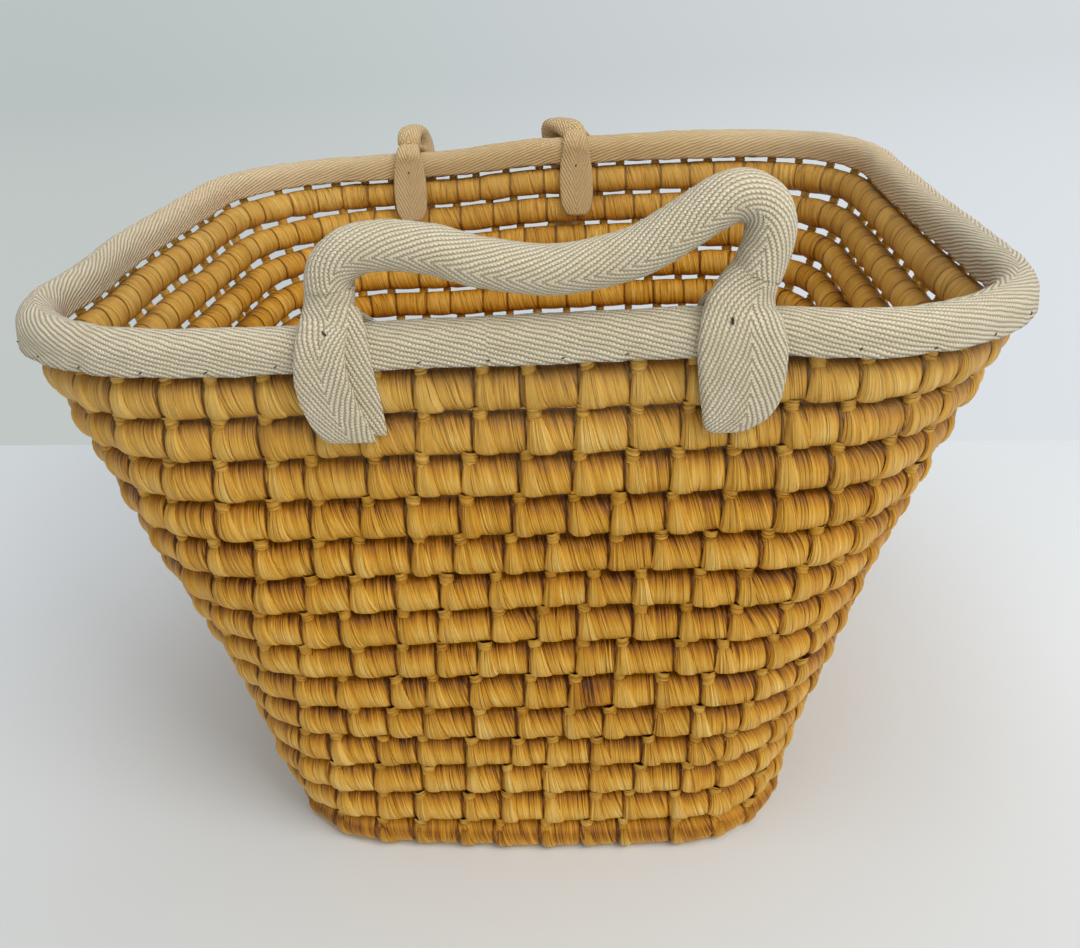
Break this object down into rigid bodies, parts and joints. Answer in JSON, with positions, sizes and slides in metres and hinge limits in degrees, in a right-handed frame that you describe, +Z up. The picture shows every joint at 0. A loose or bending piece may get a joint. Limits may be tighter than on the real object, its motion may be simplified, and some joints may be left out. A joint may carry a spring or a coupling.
{
  "type": "market basket",
  "caption": "Open market basket of coiled plant fibre with an openwork wall, a cloth-bound rim and two short rolled cloth handles that flop over the rim.",
  "frame": {"origin": "centre of the underside of the basket's base, on the surface it stands on", "axes": "+Z up, +X along the longer side of the mouth and of the handles, +Y from the front wall to the back wall, whose handle hangs outside"},
  "size_m": [0.4056, 0.3883, 0.2967],
  "materials": {
    "palm_coil": "satin",
    "palm_stitch": "satin",
    "cotton_tape": "matte",
    "rope": "matte",
    "thread": "matte"
  },
  "bodies": {
    "basket": {"coil_row_01": "palm_coil", "coil_row_02": "palm_coil", "coil_row_03": "palm_coil", "coil_row_04": "palm_coil", "coil_row_05": "palm_coil", "coil_row_06": "palm_coil", "coil_row_07": "palm_coil", "coil_row_08": "palm_coil", "coil_row_09": "palm_coil", "coil_row_10": "palm_coil", "coil_row_11": "palm_coil", "coil_row_12": "palm_coil", "coil_row_13": "palm_coil", "coil_row_14": "palm_coil", "rim_coil": "palm_coil", "base_ring_1": "palm_coil", "base_ring_2": "palm_coil", "base_ring_3": "palm_coil", "base_ring_4": "palm_coil", "base_ring_5": "palm_coil", "base_centre_coil": "palm_coil", "stitches_row_01": "palm_stitch", "stitches_row_02": "palm_stitch", "stitches_row_03": "palm_stitch", "stitches_row_04": "palm_stitch", "stitches_row_05": "palm_stitch", "stitches_row_06": "palm_stitch", "stitches_row_07": "palm_stitch", "stitches_row_08": "palm_stitch", "stitches_row_09": "palm_stitch", "stitches_row_10": "palm_stitch", "stitches_row_11": "palm_stitch", "stitches_row_12": "palm_stitch", "stitches_row_13": "palm_stitch", "stitches_row_14": "palm_stitch", "base_stitches": "palm_stitch", "rim_tape": "cotton_tape", "rim_sewing_thread": "thread", "front_handle_outer_leaf_left": "cotton_tape", "front_handle_outer_leaf_right": "cotton_tape", "front_handle_inner_leaf_left": "cotton_tape", "front_handle_inner_leaf_right": "cotton_tape", "front_handle_tack_thread": "thread", "back_handle_outer_leaf_left": "cotton_tape", "back_handle_outer_leaf_right": "cotton_tape", "back_handle_inner_leaf_left": "cotton_tape", "back_handle_inner_leaf_right": "cotton_tape", "back_handle_tack_thread": "thread"},
    "front_handle": {"front_handle_sleeve": "cotton_tape", "front_handle_rope_core": "rope", "front_handle_neck_left": "cotton_tape", "front_handle_neck_right": "cotton_tape"},
    "back_handle": {"back_handle_sleeve": "cotton_tape", "back_handle_rope_core": "rope", "back_handle_neck_left": "cotton_tape", "back_handle_neck_right": "cotton_tape"}
  },
  "joints": [
    {"name": "front_handle_swing", "type": "hinge", "parent": "basket", "child": "front_handle", "pos_m": [0.017, -0.1466, 0.253], "axis": [1, 0, 0], "range_deg": [-35, 175], "deforming": ["front_handle_neck_left", "front_handle_neck_right"]},
    {"name": "back_handle_swing", "type": "hinge", "parent": "basket", "child": "back_handle", "pos_m": [-0.03325, 0.2221, 0.253], "axis": [1, 0, 0], "range_deg": [0, 215], "deforming": ["back_handle_neck_left", "back_handle_neck_right"]}
  ]
}
